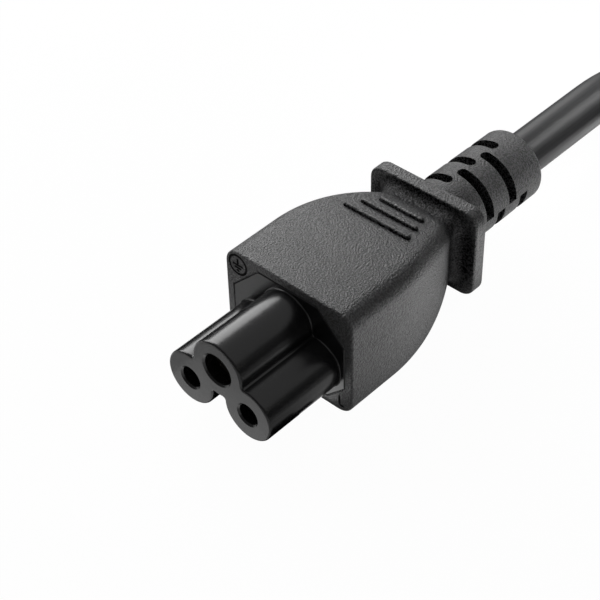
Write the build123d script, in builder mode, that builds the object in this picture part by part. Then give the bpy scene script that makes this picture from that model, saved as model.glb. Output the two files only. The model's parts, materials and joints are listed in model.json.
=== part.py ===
from build123d import *
import math
import os

# A mains lead with a three-hole cloverleaf connector, a put-away coil of cord and an angled plug.
# All sizes are in millimetres. The connector lies on the floor, z = 0, with its nose towards -Y and
# its cord leaving along +Y. The origin is on the floor, under the middle of the connector.

# Cloverleaf nose and its holes
pole_pitch = 10.0
earth_rise = 4.5
pole_drop = 2.0
nose_length = 12.95
pole_lobe_r = 3.95
earth_lobe_r = 4.25
lobe_crotch_r = 0.35
nose_edge_r = 0.35
pole_hole_r = 1.55
earth_hole_r = 2.28
hole_lead_in = 0.25
nose_root_r = 0.18

# Insert plate, flush in the front of the grip body
nose_side_margin = 0.65
nose_top_margin = 0.45
plate_margin = 1.3
seam_chamfer = 0.15
plate_top_chamfer = 4.5
plate_bottom_chamfer = 3.0
plate_thickness = 2.5
insert_back = 7.0

# Socket contacts
pole_pin_r = 1.2
earth_pin_r = 1.8
contact_clearance = 0.05
contact_setback = 2.5
sleeve_length = 11.0
sleeve_slot = 0.5
contact_web = 1.5
crimp_r = 1.35
crimp_overhang = 1.8

# Grip body, flange and strain relief
body_length = 26.9
side_straight = 8.75
top_straight = 8.75
neck_side_wall = 1.95
neck_top_wall = 1.33
body_edge_r = 2.4
front_edge_r = 0.3
flange_reach = 4.05
flange_rise = 2.5
flange_thickness = 2.1
flange_corner_r = 2.3
flange_edge_r = 0.3
flange_land = 0.15
relief_length = 18.5
relief_margin = 1.58
relief_taper = 0.1
relief_end_r = 0.6
slot_count = 5
slot_width = 1.65
slot_pitch = 2.58
slot_start = 2.83
slot_lap = 0.4
slot_end_flat = 0.05

# Grip ribs
rib_count = 3
rib_start = 17.3
rib_pitch = 2.55
rib_width = 0.8
rib_flat = 0.1
rib_height = 0.55
rib_inset = 4.1

# Cord and its cores
cord_d = 6.7
core_r = 1.15
core_gap = 0.4
conductor_r = 0.55
bare_length = 5.0
core_bend_r = 6.0
core_straight = 2.5
strip_setback = 24.8

# Put-away coil, its strap and the runs into and out of it
lead_out = 14.0
entry_level_run = 11.0
entry_drop_run = 14.0
bend_share = 0.45
coil_d = 67.0
coil_slack = 1.05
coil_exit = 30.0
tie_width = 8.0
tie_thickness = 0.8
tie_angle = 35.0

# Angled plug, lying on its back with its pins up
tail_gap = 12.0
plug_height = 26.0
plug_wall = 4.1
plug_back_r = 5.0
plug_front_r = 0.8
plug_relief_length = 24.0
plug_relief_root_r = 7.0
plug_relief_tip_r = 4.9
plug_groove_count = 4
plug_groove_width = 1.3
plug_groove_pitch = 3.2
plug_groove_start = 6.0
plug_groove_depth = 0.9
key_width = 6.0
key_depth = 2.6
key_length = 17.0
bridge_margin = 1.6
bridge_thickness = 10.0
plug_pin_pitch = 19.0
plug_pin_r = 2.4
plug_pin_root_r = 2.1
plug_pin_length = 19.0
plug_pin_tip_r = 1.6
plug_pin_collar_r = 3.4
plug_pin_collar = 2.0
pin_tag_width = 2.4
pin_tag_thickness = 1.0
tag_margin = 0.2
earth_socket_offset = 10.0
earth_socket_r = 2.45
earth_socket_wall = 0.45
earth_socket_set = 0.6
strip_width = 6.0
strip_thickness = 0.8
strip_seat = 2.4
strip_tip_set = 1.2
strip_tab_y = 2.0
plug_strip_setback = 3.0

os.makedirs("parts", exist_ok=True)

# Sizes that follow from the nose and from the cord
cord_r = cord_d / 2
plate_x = pole_pitch / 2 + pole_lobe_r + nose_side_margin
plate_z = earth_rise - pole_drop + earth_lobe_r + nose_top_margin
body_width = 2 * (plate_x + plate_margin)
body_height = 2 * (plate_z + plate_margin)
neck_width = cord_d + 2 * neck_side_wall
neck_height = cord_d + 2 * neck_top_wall
flange_width = neck_width + 2 * flange_reach
flange_height = neck_height + 2 * flange_rise
relief_root_r = flange_height / 2 - relief_margin
relief_tip_r = relief_root_r - relief_taper
relief_fillet = relief_margin - flange_edge_r - flange_land
slot_end_r = slot_width / 2 - slot_end_flat


def sweep_radius(run, fall):
    """The radius of an arc that starts level and has fallen away by fall at the end of its run."""
    return (run**2 + fall**2) / (2 * fall)


side_run = body_length - side_straight
side_radius = sweep_radius(side_run, (body_width - neck_width) / 2)
side_sweep = math.degrees(math.asin(side_run / side_radius))
top_run = body_length - top_straight
top_radius = sweep_radius(top_run, (body_height - neck_height) / 2)
top_sweep = math.degrees(math.asin(top_run / top_radius))
rib_edge_r = (rib_width - rib_flat) / 2
neck_fillet = (flange_rise - flange_edge_r - flange_land) * math.tan(math.radians((90 - top_sweep) / 2))

# Places along the connector, from the nose's tip to the end of the strain relief
connector_length = nose_length + body_length + flange_thickness + relief_length
axis_z = body_height / 2
pole_z = axis_z - pole_drop
y_nose = -connector_length / 2
y_face = y_nose + nose_length
y_flange = y_face + body_length
y_relief = y_flange + flange_thickness
y_end = y_relief + relief_length
y_back = y_face + insert_back
y_strip = y_end - strip_setback

# Each pole of the connector: its x, its z, its hole in the nose and the pin that it takes
poles = {
    "line": (pole_pitch / 2, pole_z, pole_hole_r, pole_pin_r),
    "neutral": (-pole_pitch / 2, pole_z, pole_hole_r, pole_pin_r),
    "earth": (0.0, pole_z + earth_rise, earth_hole_r, earth_pin_r),
}


def finish(part, name):
    """Labels a finished piece and writes its file."""
    part.label = name
    export_step(part, f"parts/{name}.step")


def across(y, x=0.0, z=axis_z):
    """The plane across the connector at y, seen from the nose; a negative extrusion runs along +Y."""
    return Plane(origin=(x, y, z), x_dir=(1, 0, 0), z_dir=(0, -1, 0))


def hollow(start, straight, radius, y):
    """How far a side that runs straight and then curves inwards has fallen back at y."""
    past = max(0.0, y - start - straight)
    return radius - math.sqrt(radius**2 - past**2)


def half_width(y):
    """Half the grip body's width at y."""
    return body_width / 2 - hollow(y_face, side_straight, side_radius, y)


def half_height(y):
    """Half the grip body's height at y."""
    return body_height / 2 - hollow(y_face, top_straight, top_radius, y)


def core_ring(index):
    """Offsets of one of three cores that lie together in the sheath."""
    reach = (core_r + core_gap / 2) / math.cos(math.radians(30))
    angle = math.radians(-30 + 120 * index)
    return reach * math.cos(angle), reach * math.sin(angle)


# Outlines that the insert and its pocket share
with BuildSketch(across(y_nose)) as clover:
    for x, z, hole_r, pin_r in poles.values():
        with Locations((x, z - axis_z)):
            Circle(earth_lobe_r if hole_r == earth_hole_r else pole_lobe_r)
    fillet(clover.vertices(), lobe_crotch_r)

with BuildSketch(across(y_face)) as plate:
    with BuildLine():
        Polyline(
            (0, plate_z),
            (plate_x - plate_top_chamfer, plate_z),
            (plate_x, plate_z - plate_top_chamfer),
            (plate_x, plate_bottom_chamfer - plate_z),
            (plate_x - plate_bottom_chamfer, -plate_z),
            (0, -plate_z),
        )
        mirror(about=Plane.YZ)
    make_face()

# Contact insert: the nose, its base plate and the block that holds the contacts
with BuildPart() as contact_insert:
    extrude(clover.sketch, amount=-(nose_length + insert_back))
    fillet(contact_insert.faces().sort_by(Axis.Y)[0].edges(), nose_edge_r)
    extrude(plate.sketch, amount=-plate_thickness)
    plate_front = contact_insert.faces().filter_by(Axis.Y).sort_by(Axis.Y)[1]
    fillet(plate_front.inner_wires().edges(), nose_root_r)
    plate_front = contact_insert.faces().filter_by(Axis.Y).sort_by(Axis.Y)[1]
    chamfer(plate_front.outer_wire().edges(), seam_chamfer)
    for x, z, hole_r, pin_r in poles.values():
        with BuildSketch(across(y_nose, x, z)):
            Circle(hole_r)
        extrude(amount=-(nose_length + insert_back), mode=Mode.SUBTRACT)
    mouths = contact_insert.faces().sort_by(Axis.Y)[0].edges().filter_by(GeomType.CIRCLE)
    chamfer([edge for edge in mouths if edge.is_closed], hole_lead_in)
finish(contact_insert.part, "contact_insert")

# Socket contacts: a split sleeve for the pin, a closed web and a crimp barrel for the conductor
y_sleeve = y_nose + contact_setback
y_web = y_sleeve + sleeve_length
y_crimp = y_web + contact_web
y_crimp_end = y_back + crimp_overhang
for name, (x, z, hole_r, pin_r) in poles.items():
    with BuildPart() as contact:
        with BuildSketch(across(y_sleeve, x, z)):
            Circle(hole_r - contact_clearance)
        extrude(amount=-(sleeve_length + contact_web))
        with BuildSketch(across(y_sleeve, x, z)):
            Circle(pin_r)
        extrude(amount=-sleeve_length, mode=Mode.SUBTRACT)
        with BuildSketch(across(y_sleeve, x, z)):
            with Locations((0, hole_r / 2)):
                Rectangle(sleeve_slot, hole_r)
        extrude(amount=-sleeve_length, mode=Mode.SUBTRACT)
        with BuildSketch(across(y_crimp, x, z)):
            Circle(crimp_r)
        extrude(amount=-(y_crimp_end - y_crimp))
        with BuildSketch(across(y_crimp_end, x, z)):
            Circle(conductor_r)
        extrude(amount=bare_length, mode=Mode.SUBTRACT)
    finish(contact.part, f"{name}_contact")

# Cores: each leaves the sheath beside the other two and spreads out to its crimp
core_parts = []
core_seats = {"line": 0, "earth": 1, "neutral": 2}
for name, (x, z, hole_r, pin_r) in poles.items():
    sheath_x, sheath_z = core_ring(core_seats[name])
    with BuildPart() as core:
        with BuildLine() as core_path:
            FilletPolyline(
                (x, y_crimp_end, z),
                (x, y_crimp_end + core_straight, z),
                (sheath_x, y_strip - core_straight, axis_z + sheath_z),
                (sheath_x, y_strip, axis_z + sheath_z),
                radius=core_bend_r,
            )
        with BuildSketch(across(y_crimp_end, x, z)):
            Circle(core_r)
        sweep(path=core_path.wire())
        with BuildSketch(across(y_crimp_end, x, z)):
            Circle(conductor_r)
        extrude(amount=bare_length)
    finish(core.part, f"{name}_core")
    core_parts.append(core.part)

# Slots of the strain relief: each pair takes two opposite quarters, square at the parting line at
# half height and rounded where they lap over the middle of the top and of the bottom
with BuildPart() as slot_pair:
    for up in (1, -1):
        with BuildSketch(across(y_relief + slot_start)):
            Circle(relief_root_r + relief_fillet)
            Circle(cord_r, mode=Mode.SUBTRACT)
            with Locations((-up * slot_lap, 0)):
                Rectangle(
                    flange_width,
                    flange_width,
                    align=(Align.MIN, Align.MIN) if up > 0 else (Align.MAX, Align.MAX),
                    mode=Mode.INTERSECT,
                )
        extrude(amount=-slot_width)
    fillet(slot_pair.edges().filter_by(Axis.Z), slot_end_r)
slot_pairs = [mirror(slot_pair.part, about=Plane.YZ), slot_pair.part]

# Grip ribs: round-ended bars that lean with the body's top, each with a rounded crest
rib_parts = []
for index in range(rib_count):
    y_rib = y_face + rib_start + index * rib_pitch
    lean = math.asin((y_rib - y_face - top_straight) / top_radius)
    rib_foot = (0, y_rib, axis_z + half_height(y_rib))
    rib_up = (0, math.sin(lean), math.cos(lean))
    with BuildPart() as rib:
        with BuildSketch(Plane(origin=rib_foot, x_dir=(1, 0, 0), z_dir=rib_up)):
            SlotOverall(2 * (half_width(y_rib) - rib_inset), rib_width)
        extrude(amount=rib_height, both=True)
        fillet(rib.faces().sort_by(Axis.Z)[-1].edges(), rib_edge_r)
    rib_parts.append(rib.part)

# Connector body: plan and side outlines crossed, then the flange, the strain relief and the ribs
with BuildPart() as connector_body:
    with BuildSketch(Plane.XY):
        with BuildLine():
            side = Line((body_width / 2, y_face), (body_width / 2, y_face + side_straight))
            waist = JernArc(side @ 1, (0, 1), side_radius, side_sweep)
            Line(waist @ 1, (0, y_flange))
            Line((0, y_face), side @ 0)
            mirror(about=Plane.YZ)
        make_face()
    extrude(amount=body_height)
    with BuildSketch(Plane(origin=(0, 0, axis_z), x_dir=(0, 1, 0), z_dir=(1, 0, 0))):
        with BuildLine():
            top = Line((y_face, body_height / 2), (y_face + top_straight, body_height / 2))
            slope = JernArc(top @ 1, (1, 0), top_radius, -top_sweep)
            Line(slope @ 1, (y_flange, 0))
            Line((y_face, 0), top @ 0)
            mirror(about=Plane.XZ)
        make_face()
    extrude(amount=body_width, both=True, mode=Mode.INTERSECT)
    long_edges = connector_body.edges().filter_by(lambda edge: edge.bounding_box().size.Y > front_edge_r)
    fillet(long_edges, body_edge_r)
    fillet(connector_body.faces().sort_by(Axis.Y)[0].edges(), front_edge_r)
    with BuildSketch(across(y_flange)):
        RectangleRounded(flange_width, flange_height, flange_corner_r)
    extrude(amount=-flange_thickness)
    flange_faces = connector_body.faces().filter_by(Axis.Y).sort_by(Axis.Y)
    fillet(flange_faces[-2].inner_wires().edges(), neck_fillet)
    flange_faces = connector_body.faces().filter_by(Axis.Y).sort_by(Axis.Y)
    rims = flange_faces[-2].outer_wire().edges() + flange_faces[-1].outer_wire().edges()
    fillet(rims, flange_edge_r)
    with BuildSketch(Plane(origin=(0, 0, axis_z), x_dir=(0, 1, 0), z_dir=(1, 0, 0))):
        with BuildLine():
            Polyline((y_relief, 0), (y_relief, relief_root_r), (y_end, relief_tip_r), (y_end, 0), close=True)
        make_face()
    revolve(axis=Axis((0, 0, axis_z), (0, 1, 0)))
    fillet(connector_body.faces().sort_by(Axis.Y)[-1].edges(), relief_end_r)
    flange_back = connector_body.faces().filter_by(Axis.Y).sort_by(Axis.Y)[-2]
    fillet(flange_back.inner_wires().edges(), relief_fillet)
    for rib_part in rib_parts:
        add(rib_part)
        mirror(rib_part, about=Plane.XY.offset(axis_z))
    extrude(plate.sketch, amount=-plate_thickness, mode=Mode.SUBTRACT)
    front = connector_body.faces().filter_by(Axis.Y).sort_by(Axis.Y)[0]
    chamfer(front.inner_wires().edges(), seam_chamfer)
    extrude(clover.sketch, amount=-(nose_length + insert_back), mode=Mode.SUBTRACT)
    for x, z, hole_r, pin_r in poles.values():
        with BuildSketch(across(y_back, x, z)):
            Circle(crimp_r)
        extrude(amount=-crimp_overhang, mode=Mode.SUBTRACT)
    with BuildSketch(across(y_strip)):
        Circle(cord_r)
    extrude(amount=-strip_setback, mode=Mode.SUBTRACT)
    for core_part in core_parts:
        add(core_part, mode=Mode.SUBTRACT)
    for index in range(slot_count):
        with Locations(Location((0, index * slot_pitch, 0))):
            add(slot_pairs[index % 2], mode=Mode.SUBTRACT)
finish(connector_body.part, "connector_body")

# Lead: straight out of the strain relief
y_lead = y_end + lead_out
with BuildPart() as cord_lead:
    with BuildSketch(across(y_strip)):
        Circle(cord_r)
    extrude(amount=-(y_lead - y_strip))
finish(cord_lead.part, "cord_lead")


def bend_radii(points):
    """The radius of each corner: a share of its shorter run, over the tangent of half the turn."""
    radii = []
    for before, corner, after in zip(points, points[1:], points[2:]):
        run_in = Vector(corner) - Vector(before)
        run_out = Vector(after) - Vector(corner)
        half_turn = math.radians(run_in.get_angle(run_out) / 2)
        radii.append(bend_share * min(run_in.length, run_out.length) / math.tan(half_turn))
    return radii


# Coil: the run down to the floor, five turns side by side and on each other as one ring, and the
# tangent run out of its top turn
turn_r = cord_r * coil_slack
turn_rise = cord_d * math.sqrt(3) / 2
low_z = tie_thickness + turn_r
high_z = low_z + turn_rise
coil_r = coil_d / 2
coil_x = coil_r + cord_d
y_corner = y_lead + entry_level_run
y_floor = y_corner + entry_drop_run
coil_y = y_floor + entry_level_run
exit_x = coil_x + coil_r + cord_r
entry_points = [(0, y_lead, axis_z), (0, y_corner, axis_z), (0, y_floor, low_z), (0, coil_y, low_z)]
entry_radii = bend_radii(entry_points)
print("entry radii", [round(radius, 1) for radius in entry_radii])
coil_axis = Axis((coil_x, coil_y, 0), (0, 0, 1))
coil_section = Plane(origin=(coil_x, coil_y, 0), x_dir=(1, 0, 0), z_dir=(0, -1, 0))
turns = [(-cord_d, low_z), (0, low_z), (cord_d, low_z), (-cord_r, high_z), (cord_r, high_z)]
with BuildPart() as cord_coil:
    with BuildSketch(coil_section) as bundle:
        with BuildLine() as bundle_line:
            for offset_r, z in turns:
                CenterArc((coil_r + offset_r, z), turn_r, 0, 360)
        make_hull(bundle_line.edges())
    revolve(axis=coil_axis)
    with BuildLine() as entry_path:
        FilletPolyline(*entry_points, radius=entry_radii)
    with BuildSketch(across(y_lead)):
        Circle(cord_r)
    sweep(path=entry_path.wire())
    with BuildSketch(across(coil_y, exit_x, high_z)):
        Circle(cord_r)
    extrude(amount=coil_exit)
finish(cord_coil.part, "cord_coil")

# Strap round the coil's turns
with BuildPart() as coil_tie:
    with BuildSketch(coil_section):
        add(bundle.sketch_local)
        offset(amount=tie_thickness, mode=Mode.REPLACE)
        add(bundle.sketch_local, mode=Mode.SUBTRACT)
    tie_sweep = math.degrees(tie_width / coil_r)
    revolve(axis=coil_axis, revolution_arc=tie_sweep)
finish(coil_tie.part.rotate(coil_axis, tie_angle), "coil_tie")

# Tail: straight from the coil's top turn into the plug
bridge_r = plug_pin_pitch / 2 + plug_pin_collar_r + bridge_margin
plug_r = bridge_r + plug_wall
y_plug_tip = coil_y - coil_exit - tail_gap
y_plug_root = y_plug_tip - plug_relief_length
plug_x = exit_x
plug_y = y_plug_root - math.sqrt(plug_r**2 - plug_relief_root_r**2)
plug_z = high_z
y_plug_strip = plug_y + plug_r - plug_strip_setback
with BuildPart() as cord_tail:
    with BuildSketch(across(y_plug_strip, plug_x, plug_z)):
        Circle(cord_r)
    extrude(amount=-(coil_y - coil_exit - y_plug_strip))
finish(cord_tail.part, "cord_tail")

# Plug pieces, from the front face down
bridge_z = plug_height - bridge_thickness


def plug_level(z, x=0.0, y=0.0):
    """The level plane through the plug at height z, with its origin at x, y from the plug's axis."""
    return Plane(origin=(plug_x + x, plug_y + y, z))


socket_outer_r = earth_socket_r + earth_socket_wall
with BuildPart() as plug_bridge:
    with BuildSketch(plug_level(bridge_z)):
        Circle(bridge_r)
        with GridLocations(plug_pin_pitch, 0, 2, 1):
            Circle(plug_pin_root_r, mode=Mode.SUBTRACT)
        with Locations((0, -earth_socket_offset)):
            Circle(socket_outer_r, mode=Mode.SUBTRACT)
    extrude(amount=bridge_thickness)
    with BuildSketch(plug_level(bridge_z)):
        with GridLocations(plug_pin_pitch, 0, 2, 1):
            Circle(plug_pin_collar_r)
    extrude(amount=plug_pin_collar, mode=Mode.SUBTRACT)
finish(plug_bridge.part, "plug_bridge")

plug_poles = {"plug_line": -plug_pin_pitch / 2, "plug_neutral": plug_pin_pitch / 2}
tag_z = plug_z + core_ring(core_seats["line"])[1] - core_r - tag_margin
for name, x in plug_poles.items():
    with BuildPart() as pin:
        with BuildSketch(plug_level(plug_height, x)):
            Circle(plug_pin_r)
        extrude(amount=plug_pin_length)
        fillet(pin.faces().sort_by(Axis.Z)[-1].edges(), plug_pin_tip_r)
        with BuildSketch(plug_level(bridge_z, x)):
            Circle(plug_pin_root_r)
        extrude(amount=bridge_thickness)
        with BuildSketch(plug_level(bridge_z, x)):
            Circle(plug_pin_collar_r)
        extrude(amount=plug_pin_collar)
        with BuildSketch(plug_level(tag_z, x)):
            Rectangle(pin_tag_width, pin_tag_thickness)
        extrude(amount=bridge_z - tag_z)
    finish(pin.part, f"{name}_pin")

with BuildPart() as plug_earth_socket:
    with BuildSketch(plug_level(bridge_z, 0, -earth_socket_offset)):
        Circle(socket_outer_r)
        Circle(earth_socket_r, mode=Mode.SUBTRACT)
    extrude(amount=bridge_thickness - earth_socket_set)
finish(plug_earth_socket.part, "plug_earth_socket")

# Earth strip: a flat spring under the bridge, turned up at both sides, with a tag for its core
strip_reach = plug_r - strip_seat + strip_thickness
strip_z = bridge_z - strip_thickness
tab_length = strip_z - plug_z - core_ring(core_seats["earth"])[1] + core_r + tag_margin
with BuildPart() as plug_earth_strip:
    with BuildSketch(plug_level(strip_z)):
        Rectangle(strip_width, 2 * strip_reach)
    extrude(amount=strip_thickness)
    for side in (1, -1):
        with BuildSketch(plug_level(strip_z, 0, side * (strip_reach - strip_thickness / 2))):
            Rectangle(strip_width, strip_thickness)
        extrude(amount=plug_height - strip_tip_set - strip_z)
    with BuildSketch(plug_level(strip_z, 0, strip_tab_y)):
        Rectangle(pin_tag_width, strip_thickness)
    extrude(amount=-tab_length)
finish(plug_earth_strip.part, "plug_earth_strip")

# Plug cores: from the sheath's end to the tag of each pin and of the earth strip
core_goals = {
    "plug_line": (-plug_pin_pitch / 2, pin_tag_thickness / 2, core_seats["neutral"]),
    "plug_neutral": (plug_pin_pitch / 2, pin_tag_thickness / 2, core_seats["line"]),
    "plug_earth": (0.0, strip_tab_y + strip_thickness / 2, core_seats["earth"]),
}
plug_core_parts = []
for name, (x, y, seat) in core_goals.items():
    sheath_x, sheath_z = core_ring(seat)
    goal_y = plug_y + y
    core_z = plug_z + sheath_z
    with BuildPart() as core:
        with BuildLine() as core_path:
            if x == 0.0:
                Line((plug_x, goal_y, core_z), (plug_x, y_plug_strip, core_z))
            else:
                FilletPolyline(
                    (plug_x + x, goal_y, core_z),
                    (plug_x + x, goal_y + core_straight, core_z),
                    (plug_x + sheath_x, y_plug_strip - core_straight, core_z),
                    (plug_x + sheath_x, y_plug_strip, core_z),
                    radius=core_bend_r,
                )
        with BuildSketch(across(goal_y, plug_x + x, core_z)):
            Circle(core_r)
        sweep(path=core_path.wire())
    finish(core.part, f"{name}_core")
    plug_core_parts.append(core.part)

# Plug body: a round moulding with a grooved cord outlet, guide grooves and seats for the earth strip
with BuildPart() as plug_body:
    with BuildSketch(plug_level(0)):
        Circle(plug_r)
    extrude(amount=plug_height)
    fillet(plug_body.faces().sort_by(Axis.Z)[0].edges(), plug_back_r)
    fillet(plug_body.faces().sort_by(Axis.Z)[-1].edges(), plug_front_r)
    with BuildSketch(Plane(origin=(plug_x, 0, plug_z), x_dir=(0, 1, 0), z_dir=(1, 0, 0))):
        with BuildLine():
            Polyline(
                (plug_y, 0),
                (plug_y, plug_relief_root_r),
                (y_plug_root, plug_relief_root_r),
                (y_plug_tip, plug_relief_tip_r),
                (y_plug_tip, 0),
                close=True,
            )
        make_face()
    relief_axis = Axis((plug_x, 0, plug_z), (0, 1, 0))
    revolve(axis=relief_axis)
    fillet(plug_body.faces().sort_by(Axis.Y)[-1].edges(), relief_end_r)
    for index in range(plug_groove_count):
        groove_y = y_plug_root + plug_groove_start + index * plug_groove_pitch
        share = (groove_y - y_plug_root) / plug_relief_length
        groove_r = plug_relief_root_r + share * (plug_relief_tip_r - plug_relief_root_r) - plug_groove_depth
        with BuildSketch(across(groove_y, plug_x, plug_z)):
            Circle(plug_relief_root_r)
            Circle(groove_r, mode=Mode.SUBTRACT)
        extrude(amount=-plug_groove_width, mode=Mode.SUBTRACT)
    for side in (1, -1):
        with BuildSketch(plug_level(plug_height, side * plug_r)):
            Rectangle(2 * key_depth, key_width)
        extrude(amount=-key_length, mode=Mode.SUBTRACT)
        with BuildSketch(plug_level(plug_height, 0, side * plug_r)):
            Rectangle(strip_width, 2 * strip_seat)
        extrude(amount=-(plug_height - strip_z), mode=Mode.SUBTRACT)
    with BuildSketch(plug_level(bridge_z)):
        Circle(bridge_r)
    extrude(amount=bridge_thickness, mode=Mode.SUBTRACT)
    with BuildSketch(plug_level(strip_z)):
        Rectangle(strip_width, 2 * strip_reach)
    extrude(amount=strip_thickness, mode=Mode.SUBTRACT)
    with BuildSketch(plug_level(strip_z, 0, strip_tab_y)):
        Rectangle(pin_tag_width, strip_thickness)
    extrude(amount=-tab_length, mode=Mode.SUBTRACT)
    with BuildSketch(plug_level(tag_z)):
        with GridLocations(plug_pin_pitch, 0, 2, 1):
            Rectangle(pin_tag_width, pin_tag_thickness)
    extrude(amount=bridge_z - tag_z, mode=Mode.SUBTRACT)
    with BuildSketch(across(y_plug_strip, plug_x, plug_z)):
        Circle(cord_r)
    extrude(amount=-(y_plug_tip - y_plug_strip), mode=Mode.SUBTRACT)
    for core_part in plug_core_parts:
        add(core_part, mode=Mode.SUBTRACT)
finish(plug_body.part, "plug_body")

turn_length = 2 * math.pi * (len(turns) - 0.5) * coil_r
entry_length = entry_path.wire().length
print("cord length", y_lead - y_strip + entry_length + turn_length + coil_y - y_plug_strip)
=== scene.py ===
# %% [markdown]
# A mains lead with a cloverleaf connector. The solid pieces come from the imported model, and this
# lesson dresses them: it sets up the camera, lays the cord, makes a finish for every plastic and
# metal, adds the pole marks as beads of painted shade and lights the set.
# All lengths here are in metres, and mm turns a size in millimetres into metres.

import json

import bpy
import numpy as np
from mathutils import Matrix


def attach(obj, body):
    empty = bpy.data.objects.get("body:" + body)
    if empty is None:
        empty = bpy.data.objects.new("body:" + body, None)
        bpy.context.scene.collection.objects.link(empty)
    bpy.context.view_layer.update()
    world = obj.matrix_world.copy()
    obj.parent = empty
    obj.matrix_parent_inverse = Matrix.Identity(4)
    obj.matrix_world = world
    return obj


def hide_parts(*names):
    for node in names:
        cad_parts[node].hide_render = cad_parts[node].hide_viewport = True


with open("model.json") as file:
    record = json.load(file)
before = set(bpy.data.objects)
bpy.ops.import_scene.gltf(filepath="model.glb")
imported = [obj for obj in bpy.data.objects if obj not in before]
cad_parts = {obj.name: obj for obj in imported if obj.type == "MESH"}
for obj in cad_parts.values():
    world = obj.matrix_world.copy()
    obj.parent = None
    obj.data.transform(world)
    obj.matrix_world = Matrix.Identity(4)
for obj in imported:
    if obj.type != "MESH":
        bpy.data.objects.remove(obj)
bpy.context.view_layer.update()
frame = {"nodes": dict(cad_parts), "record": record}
scene = bpy.context.scene
mm = 0.001
print("pieces from the packed model:", len(frame["nodes"]))

# %% [markdown]
# The camera looks down on the connector from its nose side, a little over 40 degrees above the
# floor. A long lens keeps the perspective gentle, as product photographs have it. The camera's three
# axes are worked out from two angles and a small roll, so the view can be changed by one number.

# %% Camera
turn, height, roll = np.radians([43.536, 41.949, -1.508])
aim = np.array([-3.372, -11.408, 8.009]) * mm
reach = 214.0 * mm
back = np.array([np.sin(turn) * np.cos(height), -np.cos(turn) * np.cos(height), np.sin(height)])
level_right = np.array([np.cos(turn), np.sin(turn), 0.0])
level_up = np.cross(back, level_right)
right = np.cos(roll) * level_right + np.sin(roll) * level_up
up = np.cross(back, right)

lens = bpy.data.cameras.new("product_lens")
lens.lens = 97.35
lens.sensor_width = 36.0
lens.clip_start = 1 * mm
lens.clip_end = 20.0
camera = bpy.data.objects.new("product_camera", lens)
scene.collection.objects.link(camera)
placing = np.eye(4)
placing[:3, :3] = np.column_stack([right, up, back])
placing[:3, 3] = aim + reach * back
camera.matrix_world = Matrix(placing.tolist())
scene.camera = camera
print("camera at", np.round(placing[:3, 3] / mm, 1), "mm")

# %% [markdown]
# The cord is one length of round sheathed cable. It leaves the strain relief straight, comes down to
# the floor, and its spare length is wound into a flat coil of four and a half turns before it runs
# into the plug. One smooth NURBS curve carries all of it, and a round bevel gives it its thickness.
# The coil has three turns side by side and two on top, in the grooves between them. The strap goes
# under the lowest turns, so they lie above the floor by its thickness and a little slack.
# Where a turn moves over to the next place, it does so slowly, and what lies above it rides over it.

# %% The cord's route
cord_d = 6.7 * mm
cord_length = 1.09
axis_z = 8.5 * mm
strap_thickness = 0.8 * mm
slack = 1.05
low_z = strap_thickness + slack * cord_d / 2
high_z = low_z + cord_d * np.sqrt(3) / 2
start_y = 5.425 * mm
exit_y = 30.225 * mm
plug_end_y = 12.5925 * mm
lead = np.array([
    [0, start_y, axis_z],
    [0, exit_y + 14 * mm, axis_z],
    [0, exit_y + 25 * mm, axis_z],
    [0, exit_y + 39 * mm, low_z],
])
coil_r = 33.5 * mm
coil_centre = np.array([coil_r + cord_d, exit_y + 50 * mm])
points_per_turn = 24
turns = 4.5
shift_from = 200 / 360
rise_from = 150 / 360


def ease(u):
    """3u^2 - 2u^3: from 0 to 1, level at both ends."""
    u = np.clip(u, 0, 1)
    return u * u * (3 - 2 * u)


def coil_points():
    """Control points of the coil. Turn k keeps to its own ring and moves on to the next ring in the
    last part of the turn: low turns move in by one diameter, the third climbs round its neighbour,
    and the fourth rides outwards over those below. Points lie a little outside the ring, by
    1 / cos(half a step), because a curve of order 3 touches the middle of each run."""
    step = 1 / points_per_turn
    t = np.arange(0.5 * step, turns, step)
    k = np.floor(t).astype(int)
    s = ease((t - k - shift_from) / (1 - shift_from))
    climb = np.radians(180 - 120 * s)
    bump = 16 / 3 * s * (1 - s)
    over = np.array([1, 0, -1, -0.5, 0.5])[k]
    lift = np.array([0, 0, 0, 1, 1])[k] * np.sqrt(3) / 2
    ring = over + np.where(k < 2, -s, 0) + np.where(k == 3, s, 0)
    ring = np.where(k == 2, -s + np.cos(climb), ring)
    rise = np.where(k == 2, np.sin(climb), lift)
    rise = np.where(k == 3, lift + (1 - np.sqrt(3) / 2) * bump, rise)
    leaving = ease((t - 4 - rise_from) / (0.5 - rise_from))
    rise = np.where(k == 4, lift + (1 - np.sqrt(3) / 2) * leaving, rise)
    r = (coil_r + cord_d * ring) / np.cos(np.pi * step)
    a = 2 * np.pi * t
    x = coil_centre[0] - r * np.cos(a)
    y = coil_centre[1] + r * np.sin(a)
    return np.column_stack([x, y, low_z + cord_d * rise])


half_step = np.tan(np.pi / points_per_turn)
into_coil = np.array([[0, coil_centre[1] - (coil_r + cord_d) * half_step, low_z]])
tail_x = coil_centre[0] + coil_r + cord_d / 2
over_z = low_z + cord_d
tail = np.array([
    [tail_x, coil_centre[1] - (coil_r + cord_d / 2) * half_step, over_z],
    [tail_x, coil_centre[1] - 18 * mm, over_z],
    [tail_x, coil_centre[1] - 26 * mm, over_z],
    [tail_x, exit_y + 8 * mm, high_z],
    [tail_x, plug_end_y, high_z],
])
route = np.vstack([lead, into_coil, coil_points(), tail])
print("route points:", len(route), "lowest", round(route[:, 2].min() / mm, 2), "mm")

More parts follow.
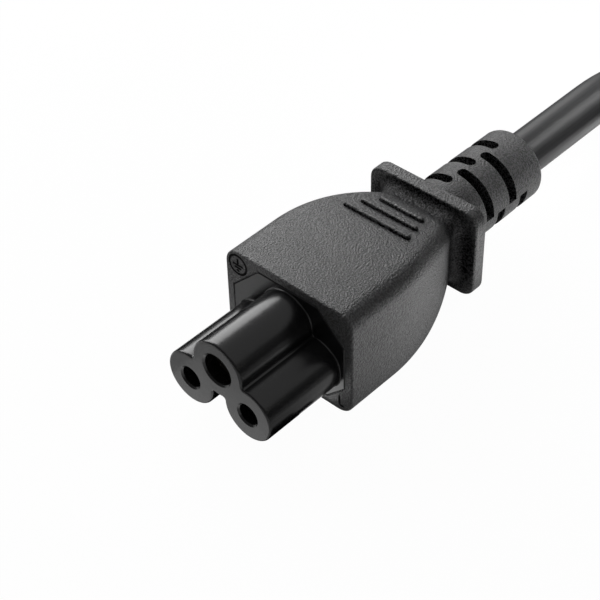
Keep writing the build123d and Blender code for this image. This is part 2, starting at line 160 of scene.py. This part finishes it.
# %% The cord itself
cord_line = bpy.data.curves.new("mains_cord", "CURVE")
cord_line.dimensions = "3D"
cord_line.bevel_depth = 1.0
cord_line.bevel_resolution = 8
cord_line.resolution_u = 6
cord_line.use_fill_caps = True
spline = cord_line.splines.new("NURBS")
spline.points.add(len(route) - 1)
spline.points.foreach_set("co", np.column_stack([route, np.ones(len(route))]).ravel())
spline.points.foreach_set("radius", np.full(len(route), cord_d / 2))
spline.order_u = 3
spline.use_endpoint_u = True
spline.use_smooth = True
mains_cord = bpy.data.objects.new("mains_cord", cord_line)
scene.collection.objects.link(mains_cord)
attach(mains_cord, "root")
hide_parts("cord_lead", "cord_coil", "cord_tail")

# %% [markdown]
# Every finish is a small tree of nodes. Colours are written as sRGB hex values and turned to linear
# light by one function. One more function adds a node with its settings and links, and a third
# starts a finish with its shader, whose fixed numbers are set on the shader's own sockets. The last
# one empties a tree, for the table, the cards and the room.

# %% Colour and node helpers


def linear(code):
    """An sRGB hex colour as linear red, green, blue and alpha: below 0.04045 a straight line,
    above it the power 2.4."""
    srgb = np.array([int(code[i:i + 2], 16) for i in (1, 3, 5)]) / 255
    light = np.where(srgb <= 0.04045, srgb / 12.92, ((srgb + 0.055) / 1.055) ** 2.4)
    return (*light.tolist(), 1.0)


def add(tree, kind, inputs=None, **settings):
    """Adds a node; settings are its own fields, inputs are sockets to link or values to set."""
    made = tree.nodes.new(kind)
    for name, value in settings.items():
        setattr(made, name, value)
    for name, value in (inputs or {}).items():
        if isinstance(value, bpy.types.NodeSocket):
            tree.links.new(value, made.inputs[name])
        else:
            made.inputs[name].default_value = value
    return made


def new_finish(name, **fixed):
    """A material with a principled shader; fixed gives sockets that are the same all over, with _
    for a space. Returns the material, its tree and the shader."""
    material = bpy.data.materials.new(name)
    material.use_nodes = True
    shader = material.node_tree.nodes["Principled BSDF"]
    for socket, value in fixed.items():
        shader.inputs[socket.replace("_", " ")].default_value = value
    return material, material.node_tree, shader


def bare_tree(owner):
    """The node tree of a material or a world, emptied."""
    owner.use_nodes = True
    owner.node_tree.nodes.clear()
    return owner.node_tree


print("white is", linear("#ffffff"))

# %% [markdown]
# The grip body is black PVC, moulded in a tool whose walls were spark-eroded. That leaves a fine
# sand-like grain, about a quarter of a millimetre from peak to peak, which breaks up the shine and
# makes the flat faces look dusty grey under a soft lamp.
# The grain is a noise texture used three ways: as bump, as a small change of colour, and with a
# broad noise of flow marks as a small change of roughness. In the moulding's own narrow corners an
# ambient occlusion node takes away the shine, which paints shade there. The grip's top is also
# very slightly crowned, which a second bump with the height of a flat parabola across X shows.

# %% Spark-textured PVC
grain = 0.25 * mm
grain_depth = 0.26 * mm
flow_width = 9 * mm
shade_reach = 6 * mm
pvc_rough = 0.4
grip_crown = 14.0


def textured_pvc(name, crown):
    """Matte PVC: noise of one grain size for bump and sparkle, and a broad noise for flow marks. The
    crown is the curvature k, per metre, of the height -k X^2 / 2."""
    material, tree, shader = new_finish(name, IOR=1.53)
    place = add(tree, "ShaderNodeTexCoord").outputs["Object"]
    sand = add(tree, "ShaderNodeTexNoise", {"Vector": place, "Scale": 1 / grain, "Detail": 2.0})
    flow = add(tree, "ShaderNodeTexNoise", {"Vector": place, "Scale": 1 / flow_width, "Detail": 2.0})
    tone = add(tree, "ShaderNodeMapRange", {"Value": sand.outputs["Fac"], "From Min": 0.44, "From Max": 0.56})
    colour = add(tree, "ShaderNodeMix", {0: tone.outputs["Result"], 6: linear("#040404"),
                                         7: linear("#444445")}, data_type="RGBA")
    tree.links.new(colour.outputs[2], shader.inputs["Base Color"])
    worn = add(tree, "ShaderNodeMapRange", {"Value": flow.outputs["Fac"], "To Min": pvc_rough - 0.05,
                                            "To Max": pvc_rough + 0.05})
    tree.links.new(worn.outputs["Result"], shader.inputs["Roughness"])
    # Painted shade: an ambient occlusion node lowers the shine in the moulding's narrow corners.
    open_sky = add(tree, "ShaderNodeAmbientOcclusion", {"Distance": shade_reach}, only_local=True)
    painted_corner_shade = add(tree, "ShaderNodeMapRange", {"Value": open_sky.outputs["AO"], "From Min": 0.62,
                                             "From Max": 0.9, "To Max": 0.66})
    tree.links.new(painted_corner_shade.outputs["Result"], shader.inputs["Specular IOR Level"])
    across = add(tree, "ShaderNodeSeparateXYZ", {"Vector": place}).outputs["X"]
    square = add(tree, "ShaderNodeMath", {0: across, 1: across}, operation="MULTIPLY")
    arch = add(tree, "ShaderNodeBump", {"Height": square.outputs[0], "Strength": 1.0, "Distance": crown / 2},
               invert=True)
    bump = add(tree, "ShaderNodeBump", {"Height": sand.outputs["Fac"], "Strength": 1.0,
                                        "Distance": grain_depth, "Normal": arch.outputs["Normal"]})
    tree.links.new(bump.outputs["Normal"], shader.inputs["Normal"])
    return material


finishes = {
    "connector_pvc": textured_pvc("spark_textured_pvc", grip_crown),
    "plug_pvc": textured_pvc("spark_textured_plug_pvc", 0.0),
}
print("made", [finish.name for finish in finishes.values()])

# %% [markdown]
# The nose and its plate are one hard insert of black polyamide, moulded in a polished tool. It has a
# clear, deep shine that runs along the lobes, with only a trace of ripple from the way it filled.
# The plug's front plate is the same plastic from a duller tool.

# %% Polished and dull polyamide


def moulded_polyamide(name, colour, ripple, depth, rough):
    """Hard plastic: a broad noise for the ripple of a polished mould and for slight haze."""
    material, tree, shader = new_finish(name, IOR=1.5)
    shader.inputs["Base Color"].default_value = linear(colour)
    place = add(tree, "ShaderNodeTexCoord").outputs["Object"]
    wave = add(tree, "ShaderNodeTexNoise", {"Vector": place, "Scale": 1 / ripple, "Detail": 2.0})
    haze = add(tree, "ShaderNodeTexNoise", {"Vector": place, "Scale": 4 / ripple, "Detail": 3.0})
    worn = add(tree, "ShaderNodeMapRange", {"Value": haze.outputs["Fac"], "To Min": rough - 0.04,
                                            "To Max": rough + 0.04})
    tree.links.new(worn.outputs["Result"], shader.inputs["Roughness"])
    bump = add(tree, "ShaderNodeBump", {"Height": wave.outputs["Fac"], "Strength": 1.0, "Distance": depth})
    tree.links.new(bump.outputs["Normal"], shader.inputs["Normal"])
    return material


finishes["insert_plastic"] = moulded_polyamide("polished_polyamide", "#121213", 3 * mm, 0.03 * mm, 0.24)
finishes["bridge_plastic"] = moulded_polyamide("dull_polyamide", "#1b1b1c", 1.2 * mm, 0.03 * mm, 0.42)
print("made", finishes["insert_plastic"].name, "and", finishes["bridge_plastic"].name)

# %% [markdown]
# The cord's sheath is extruded PVC: smooth and satin, with faint lines along its length from the die
# and a slow waviness from the cores inside. A curve's own UV map runs along the cord in u and round
# it in v, so stretched noise on it gives the die lines, about 27 mm long and a third of a millimetre
# apart.

# %% Extruded sheath PVC
die_line_run = 27.25 * mm
die_line_gap = 0.35 * mm
die_line_depth = 0.02 * mm
wave_run = 5 * mm
wave_depth = 0.08 * mm


def extruded_pvc(name, dark, light, rough):
    """Satin sheath: noise stretched along the cord for die lines, a broad noise for waviness."""
    material, tree, shader = new_finish(name, IOR=1.53, Specular_IOR_Level=0.23)
    coords = add(tree, "ShaderNodeTexCoord")
    counts = (cord_length / die_line_run, np.pi * cord_d / die_line_gap, 1)
    drawn = add(tree, "ShaderNodeMapping", {"Vector": coords.outputs["UV"], "Scale": counts})
    line = add(tree, "ShaderNodeTexNoise", {"Vector": drawn.outputs["Vector"], "Scale": 1.0, "Detail": 3.0})
    wave = add(tree, "ShaderNodeTexNoise", {"Vector": coords.outputs["Object"], "Scale": 1 / wave_run})
    tone = add(tree, "ShaderNodeMix", {0: line.outputs["Fac"], 6: linear(dark), 7: linear(light)},
               data_type="RGBA")
    tree.links.new(tone.outputs[2], shader.inputs["Base Color"])
    worn = add(tree, "ShaderNodeMapRange", {"Value": line.outputs["Fac"], "To Min": rough - 0.05,
                                            "To Max": rough + 0.05})
    tree.links.new(worn.outputs["Result"], shader.inputs["Roughness"])
    swell = add(tree, "ShaderNodeBump", {"Height": wave.outputs["Fac"], "Strength": 1.0,
                                         "Distance": wave_depth})
    bump = add(tree, "ShaderNodeBump", {"Height": line.outputs["Fac"], "Strength": 1.0,
                                        "Distance": die_line_depth, "Normal": swell.outputs["Normal"]})
    tree.links.new(bump.outputs["Normal"], shader.inputs["Normal"])
    return material


finishes["cord_pvc"] = extruded_pvc("extruded_sheath_pvc", "#1c1c1d", "#343435", 0.44)
print("made", finishes["cord_pvc"].name)

# %% [markdown]
# The contacts are brass with a coat of tin, pale and slightly cloudy. The plug's pins and its earth
# parts are brass with a coat of nickel: brighter, with fine rings left by the lathe. Both are metals
# with noise for the roughness. On the pins the noise is squeezed along the pin, which draws rings.

# %% Tinned and nickel-plated brass
mark_size = 0.4 * mm
mark_depth = 0.01 * mm


def plated_brass(name, dark, light, squeeze, rough):
    """Plated metal: noise of one mark size, squeezed along an axis, changes tone, roughness and bump."""
    material, tree, shader = new_finish(name, Metallic=1.0)
    place = add(tree, "ShaderNodeTexCoord").outputs["Object"]
    turned = add(tree, "ShaderNodeMapping", {"Vector": place, "Scale": squeeze})
    mark = add(tree, "ShaderNodeTexNoise", {"Vector": turned.outputs["Vector"], "Scale": 1 / mark_size,
                                            "Detail": 3.0})
    tone = add(tree, "ShaderNodeMix", {0: mark.outputs["Fac"], 6: linear(dark), 7: linear(light)},
               data_type="RGBA")
    tree.links.new(tone.outputs[2], shader.inputs["Base Color"])
    worn = add(tree, "ShaderNodeMapRange", {"Value": mark.outputs["Fac"], "To Min": rough - 0.08,
                                            "To Max": rough + 0.08})
    tree.links.new(worn.outputs["Result"], shader.inputs["Roughness"])
    bump = add(tree, "ShaderNodeBump", {"Height": mark.outputs["Fac"], "Strength": 1.0,
                                        "Distance": mark_depth})
    tree.links.new(bump.outputs["Normal"], shader.inputs["Normal"])
    return material


finishes["contact_metal"] = plated_brass("tinned_brass", "#b8b2a0", "#d2cdbc", (1, 1, 1), 0.34)
finishes["pin_metal"] = plated_brass("nickel_plated_brass", "#c3c0b6", "#dcdad2", (0.1, 0.1, 1), 0.24)
print("made", finishes["contact_metal"].name, "and", finishes["pin_metal"].name)

# %% [markdown]
# Inside the mouldings run three insulated cores: brown for line, blue for neutral, and green with
# yellow for earth. They are soft PVC with a slight bloom. The earth core's two colours lie on
# opposite sides, so a smooth step across X parts them.

# %% Core insulation
bloom_size = 0.5 * mm
colour_step = 0.2 * mm


def core_insulation(name, first, second, blend_from, blend_to):
    """Soft PVC whose two colours meet across X, with a fine noise for bloom."""
    material, tree, shader = new_finish(name, IOR=1.53)
    place = add(tree, "ShaderNodeTexCoord").outputs["Object"]
    bloom = add(tree, "ShaderNodeTexNoise", {"Vector": place, "Scale": 1 / bloom_size, "Detail": 2.0})
    across = add(tree, "ShaderNodeSeparateXYZ", {"Vector": place}).outputs["X"]
    side = add(tree, "ShaderNodeMapRange", {"Value": across, "From Min": blend_from, "From Max": blend_to})
    tone = add(tree, "ShaderNodeMix", {0: side.outputs["Result"], 6: linear(first), 7: linear(second)},
               data_type="RGBA")
    tree.links.new(tone.outputs[2], shader.inputs["Base Color"])
    worn = add(tree, "ShaderNodeMapRange", {"Value": bloom.outputs["Fac"], "To Min": 0.4, "To Max": 0.55})
    tree.links.new(worn.outputs["Result"], shader.inputs["Roughness"])
    return material


half_cord = cord_d / 2
finishes["brown_insulation"] = core_insulation("brown_core_pvc", "#5f3a22", "#6b4226", -half_cord, half_cord)
finishes["blue_insulation"] = core_insulation("blue_core_pvc", "#27559a", "#2d62ae", -half_cord, half_cord)
finishes["earth_insulation"] = core_insulation("green_yellow_core_pvc", "#3f8f3a", "#d8c230",
                                               -colour_step / 2, colour_step / 2)
print("made", [finishes[name].name for name in ("brown_insulation", "blue_insulation", "earth_insulation")])

# %% [markdown]
# The coil is held by a strap of woven nylon. Two sets of threads cross at right angles, so two sine
# waves multiplied give the little cushions of a plain weave. One wave counts along the coil's turns.
# The other counts outwards from the coil's middle less the height, so that it goes round the bundle.
# The real threads are about 0.3 mm apart, and are drawn 0.6 mm apart here so that they show.

# %% Woven nylon strap
thread = 0.6 * mm
weave_depth = 0.15 * mm
strap_width = 8 * mm
strap_turn = np.radians(35) + strap_width / coil_r / 2
beat = 2 * np.pi / thread
strap, tree, shader = new_finish("woven_nylon", Roughness=0.75, Sheen_Weight=0.25, Sheen_Roughness=0.4)
place = add(tree, "ShaderNodeTexCoord").outputs["Object"]
level = add(tree, "ShaderNodeMapping", {"Vector": place, "Rotation": (0, 0, -strap_turn),
                                        "Scale": (beat, beat, beat)})
sides = add(tree, "ShaderNodeSeparateXYZ", {"Vector": level.outputs["Vector"]}).outputs
run = add(tree, "ShaderNodeMath", {0: sides["X"], 1: sides["Z"]}, operation="SUBTRACT")
warp = add(tree, "ShaderNodeMath", {0: sides["Y"]}, operation="SINE")
weft = add(tree, "ShaderNodeMath", {0: run.outputs[0]}, operation="SINE")
weave = add(tree, "ShaderNodeMath", {0: warp.outputs[0], 1: weft.outputs[0]}, operation="MULTIPLY")
lift = add(tree, "ShaderNodeMapRange", {"Value": weave.outputs[0], "From Min": -1.0}).outputs["Result"]
# Painted shade: the colour follows the weave's height, darker in the dips between the cushions.
tone = add(tree, "ShaderNodeMix", {0: lift, 6: linear("#121213"), 7: linear("#2c2c2e")}, data_type="RGBA")
tree.links.new(tone.outputs[2], shader.inputs["Base Color"])
bump = add(tree, "ShaderNodeBump", {"Height": lift, "Strength": 1.0, "Distance": weave_depth})
tree.links.new(bump.outputs["Normal"], shader.inputs["Normal"])
finishes["tie_strap"] = strap
print("made", strap.name)

# %% Put the finishes on
for part in frame["record"]["subparts"]:
    piece = frame["nodes"][part["node"]]
    piece.data.materials.clear()
    piece.data.materials.append(finishes[part["material_slot"]])
mains_cord.data.materials.append(finishes["cord_pvc"])
print("finishes used:", len(finishes))

# %% [markdown]
# The front face carries the marks that tell the poles apart: the earth sign in its ring at the top,
# L beside the line hole and N beside the neutral hole. On the real moulding they are fine grooves that
# hold shade, so here each stroke is a slim bead of painted shade set half into the face. A bead is an
# ellipse carried along a path, and it shrinks to a point at both ends, where a small fan closes it.

# %% Pole marks
face_y = -17.275 * mm
bead_half = 0.17 * mm
bead_rise = 0.03 * mm
around = 12
along = 40


def bead(path, closed):
    """P(s, a) = C(s) + N(s) w(s) cos a + F h(s) sin a, with N across the path in the face, F out of the
    face, and w and h the ellipse's half axes, which fall to nothing at the ends of an open path.
    Returns the points, the four-sided faces and the fans at the ends."""
    ahead = np.roll(path, -1, 0) - np.roll(path, 1, 0) if closed else np.gradient(path, axis=0)
    ahead /= np.linalg.norm(ahead, axis=1, keepdims=True)
    across = np.column_stack([-ahead[:, 1], ahead[:, 0]])
    run = np.r_[0, np.cumsum(np.linalg.norm(np.diff(path, axis=0), axis=1))]
    end = np.clip(np.minimum(run, run[-1] - run) / bead_half, 0.002, 1)
    swell = np.ones(len(path)) if closed else np.sqrt(1 - (1 - end) ** 2)
    a = np.linspace(0, 2 * np.pi, around, endpoint=False)
    wide = (bead_half * swell)[:, None] * np.cos(a)
    tall = (bead_rise * swell)[:, None] * np.sin(a)
    x = path[:, :1] + across[:, :1] * wide
    z = path[:, 1:] + across[:, 1:] * wide
    points = np.stack([x, face_y - tall, z], -1).reshape(-1, 3)
    i, j = np.meshgrid(np.arange(len(path) if closed else len(path) - 1), np.arange(around), indexing="ij")
    n, m = (i + 1) % len(path), (j + 1) % around
    quads = np.stack([i * around + j, i * around + m, n * around + m, n * around + j], -1).reshape(-1, 4)
    k = np.arange(1, around - 1)
    fan = np.column_stack([0 * k, k + 1, k])
    fans = np.vstack([fan, len(points) - around + fan[:, ::-1]])[:0 if closed else None]
    return points, quads, fans


def stroke(start, end):
    """A straight path from start to end, in millimetres on the face."""
    return np.linspace(start, end, along) * mm


earth_sign = np.array([-8.69, 14.91])
sign_r = 1.5
ring_angle = np.linspace(0, 2 * np.pi, 2 * along, endpoint=False)
ring = (earth_sign + sign_r * np.column_stack([np.cos(ring_angle), np.sin(ring_angle)])) * mm
bars = [((0, 1.0), (0, -0.05)), ((-0.95, -0.05), (0.95, -0.05)), ((-0.62, -0.5), (0.62, -0.5)),
        ((-0.28, -0.95), (0.28, -0.95))]
letters = [((8.72, 2.75), (8.72, 1.05)), ((8.72, 1.05), (9.5, 1.05)),
           ((-9.55, 1.05), (-9.55, 2.75)), ((-9.55, 2.75), (-8.65, 1.05)), ((-8.65, 1.05), (-8.65, 2.75))]
beads = [bead(ring, True)]
beads += [bead(stroke(earth_sign + start, earth_sign + end), False) for start, end in bars]
beads += [bead(stroke(start, end), False) for start, end in letters]
first = np.cumsum([0] + [len(points) for points, quads, fans in beads])
mark_points = np.vstack([points for points, quads, fans in beads])
mark_quads = np.vstack([quads + start for (points, quads, fans), start in zip(beads, first)])
mark_fans = np.vstack([fans + start for (points, quads, fans), start in zip(beads, first)])
mark_mesh = bpy.data.meshes.new("pole_marks")
mark_mesh.from_pydata(mark_points.tolist(), [], mark_quads.tolist() + mark_fans.tolist())
mark_mesh.shade_smooth()
pole_marks = bpy.data.objects.new("pole_marks", mark_mesh)
scene.collection.objects.link(pole_marks)
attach(pole_marks, "root")
print("mark strokes:", len(beads), "faces:", len(mark_mesh.polygons))

# %% [markdown]
# A groove in black plastic swallows light. The beads' finish is therefore painted groove shade:
# nearly black and rough, with only a little speckle.

# %% Painted groove shade
speck_size = 0.2 * mm
# Painted shade: the beads are nearly black where real grooves would hold shade.
painted_groove_shade, tree, shader = new_finish("painted_groove_shade_pvc", Roughness=0.9, Specular_IOR_Level=0.1)
place = add(tree, "ShaderNodeTexCoord").outputs["Object"]
speck = add(tree, "ShaderNodeTexNoise", {"Vector": place, "Scale": 1 / speck_size})
tone = add(tree, "ShaderNodeMix", {0: speck.outputs["Fac"], 6: linear("#050505"), 7: linear("#0c0c0c")},
           data_type="RGBA")
tree.links.new(tone.outputs[2], shader.inputs["Base Color"])
mark_mesh.materials.append(painted_groove_shade)
print("made", painted_groove_shade.name)

# %% [markdown]
# The set is a white table under soft studio light. For the camera the table is mixed with plain
# white, so that the background is white and the shadow faint. Reflections get a smaller share of that
# white, so that the shine on the lead's underside still shows the table with the lead's own shadow.
# The room beyond the table is mixed the same way, and stays dim in reflections.

# %% White for the camera and for reflections


def white_share(tree, seen, mirrored):
    """How much plain white a ray gets: seen from the camera, mirrored in reflections."""
    ray = add(tree, "ShaderNodeLightPath").outputs
    direct = add(tree, "ShaderNodeMath", {0: ray["Is Camera Ray"], 1: seen}, operation="MULTIPLY")
    bounced = add(tree, "ShaderNodeMath", {0: ray["Is Glossy Ray"], 1: ray["Is Transmission Ray"]},
                  operation="MAXIMUM")
    share = add(tree, "ShaderNodeMath", {0: bounced.outputs[0], 1: mirrored, 2: direct.outputs[0]},
                operation="MULTIPLY_ADD")
    return share.outputs[0]


room_light = 0.06
room_white = 0.97
room = bpy.data.worlds.new("studio_room")
scene.world = room
tree = bare_tree(room)
dim = add(tree, "ShaderNodeBackground", {"Color": linear("#ffffff"), "Strength": room_light})
white = add(tree, "ShaderNodeBackground", {"Color": linear("#ffffff"), "Strength": room_white})
share = white_share(tree, seen=1.0, mirrored=0.1)
mix = add(tree, "ShaderNodeMixShader", {0: share, 1: dim.outputs[0], 2: white.outputs[0]})
add(tree, "ShaderNodeOutputWorld", {"Surface": mix.outputs[0]})
print("room light", room_light)

# %% [markdown]
# Flat sheets lie just above the table round the lead. They show only in its reflections, so they
# are painted reflections: the white ones glow there and the black ones paint dark reflections. Black
# ones on the left draw a dark edge down the left of each lobe and of the cord. White ones in front,
# at the corner and on the right make the nose's face, its plate and the grip's side grey, and the
# right one is brighter towards the cord. Black ones under the nose and a dim one far on the right
# keep the nose dark there, and a white one beside the cord paints a highlight along its lower edge.

# %% Table and reflection cards
table_half = 3.0
reflection_card_z = 0.5 * mm


def sheet(name, x, y, z):
    """A flat sheet over the ranges x and y at height z, which belongs to the set."""
    mesh = bpy.data.meshes.new(name)
    mesh.from_pydata([(x[0], y[0], z), (x[1], y[0], z), (x[1], y[1], z), (x[0], y[1], z)], [], [(0, 1, 2, 3)])
    made = bpy.data.objects.new(name, mesh)
    scene.collection.objects.link(made)
    return made


def reflection_card(name, x, y, dull, bright):
    """A glowing sheet just above the table that is seen in reflections only, a painted reflection, over
    the ranges x and y in millimetres; its glow runs from dull at its front edge to bright at its rear
    edge."""
    x, y = np.array([x, y]) * mm
    made = sheet(name, x, y, reflection_card_z)
    made.visible_camera = False
    made.visible_diffuse = False
    made.visible_shadow = False
    finish = bpy.data.materials.new(name)
    tree = bare_tree(finish)
    place = add(tree, "ShaderNodeTexCoord").outputs["Object"]
    depth = add(tree, "ShaderNodeSeparateXYZ", {"Vector": place}).outputs["Y"]
    level = add(tree, "ShaderNodeMapRange", {"Value": depth, "From Min": y[0], "From Max": y[1],
                                             "To Min": dull, "To Max": bright})
    glow = add(tree, "ShaderNodeEmission", {"Color": linear("#ffffff"), "Strength": level.outputs["Result"]})
    add(tree, "ShaderNodeOutputMaterial", {"Surface": glow.outputs[0]})
    made.data.materials.append(finish)
    return made


floor = sheet("floor", (-table_half, table_half), (-table_half, table_half), 0.0)
floor_paint = bpy.data.materials.new("white_table")
tree = bare_tree(floor_paint)
paint = add(tree, "ShaderNodeBsdfDiffuse", {"Color": linear("#eeeeee")})
glow = add(tree, "ShaderNodeEmission", {"Color": linear("#ffffff"), "Strength": 1.0})
share = white_share(tree, seen=0.975, mirrored=0.2)
mix = add(tree, "ShaderNodeMixShader", {0: share, 1: paint.outputs[0], 2: glow.outputs[0]})
add(tree, "ShaderNodeOutputMaterial", {"Surface": mix.outputs[0]})
floor.data.materials.append(floor_paint)
# Each card is a painted reflection: the white ones glow and the black ones paint dark reflections.
reflection_cards = [
    reflection_card("black_reflection_card", (-400, -22), (-28, 300), dull=0.0, bright=0.0),
    reflection_card("front_reflection_card", (-12, 7.5), (-52, -31), dull=0.0, bright=1.2),
    reflection_card("corner_reflection_card", (3, 7.5), (-22, -17.6), dull=1.8, bright=2.2),
    reflection_card("right_reflection_card", (11.5, 27), (-22, 30), dull=0.3, bright=3.2),
    reflection_card("far_reflection_card", (28, 58), (-60, 40), dull=0.3, bright=0.3),
    reflection_card("nose_reflection_card", (-6, 14), (-31, -22), dull=0.0, bright=0.0),
    reflection_card("lobe_reflection_card", (8.5, 11.5), (-22, -19.2), dull=0.0, bright=0.0),
    reflection_card("rear_reflection_card", (-22, -4), (30, 120), dull=0.0, bright=0.0),
    reflection_card("cord_reflection_card", (4, 25), (32, 75), dull=0.6, bright=5.0),
]
print("on the set:", floor.name, [made.name for made in reflection_cards])

# %% [markdown]
# One long soft box stands low on the lead's left. It draws the shine along the left of each lobe and
# throws the shadow to the right, where the nose stays dark. It ends a little short of the rear, so the
# grey of the grip's top fades from left to right, and the strain relief is darker than the grip.
# A weak one hangs overhead, and a small one with a narrow beam lights the cord from above the coil.
# The camera doesn't see the lamps themselves.

# %% Soft boxes


def soft_box(name, at, away, wide, tall, power, spread):
    """An area lamp that stands at away from the point at and is turned towards it. Its light fans out by
    the angle spread, in degrees."""
    light = bpy.data.lights.new(name, "AREA")
    light.shape = "RECTANGLE"
    light.size = wide
    light.size_y = tall
    light.energy = power
    light.spread = np.radians(spread)
    lamp = bpy.data.objects.new(name, light)
    lamp.visible_camera = False
    scene.collection.objects.link(lamp)
    z = np.array(away) / np.linalg.norm(away)
    x = np.cross([0, 0, 1.0], z)
    x /= np.linalg.norm(x)
    matrix = np.eye(4)
    matrix[:3, :3] = np.column_stack([x, np.cross(z, x), z])
    matrix[:3, 3] = at + np.array(away)
    lamp.matrix_world = Matrix(matrix.tolist())
    return lamp


cord_spot = np.array([0, 61 * mm, axis_z])
lamps = [
    soft_box("key_soft_box", aim, (-0.268, 0.097, 0.165),
             wide=0.44, tall=0.22, power=1.45, spread=180),
    soft_box("top_soft_box", aim, (0.1, 0.3, 0.9),
             wide=1.8, tall=1.8, power=4, spread=180),
    soft_box("cord_soft_box", cord_spot, (0.022, 0.035, 0.043),
             wide=0.065, tall=0.045, power=0.008, spread=33),
]
print("lamps:", [lamp.name for lamp in lamps])

# %% [markdown]
# The colours go out as they are written, with the standard view.

# %% Colour handling
scene.view_settings.view_transform = "Standard"
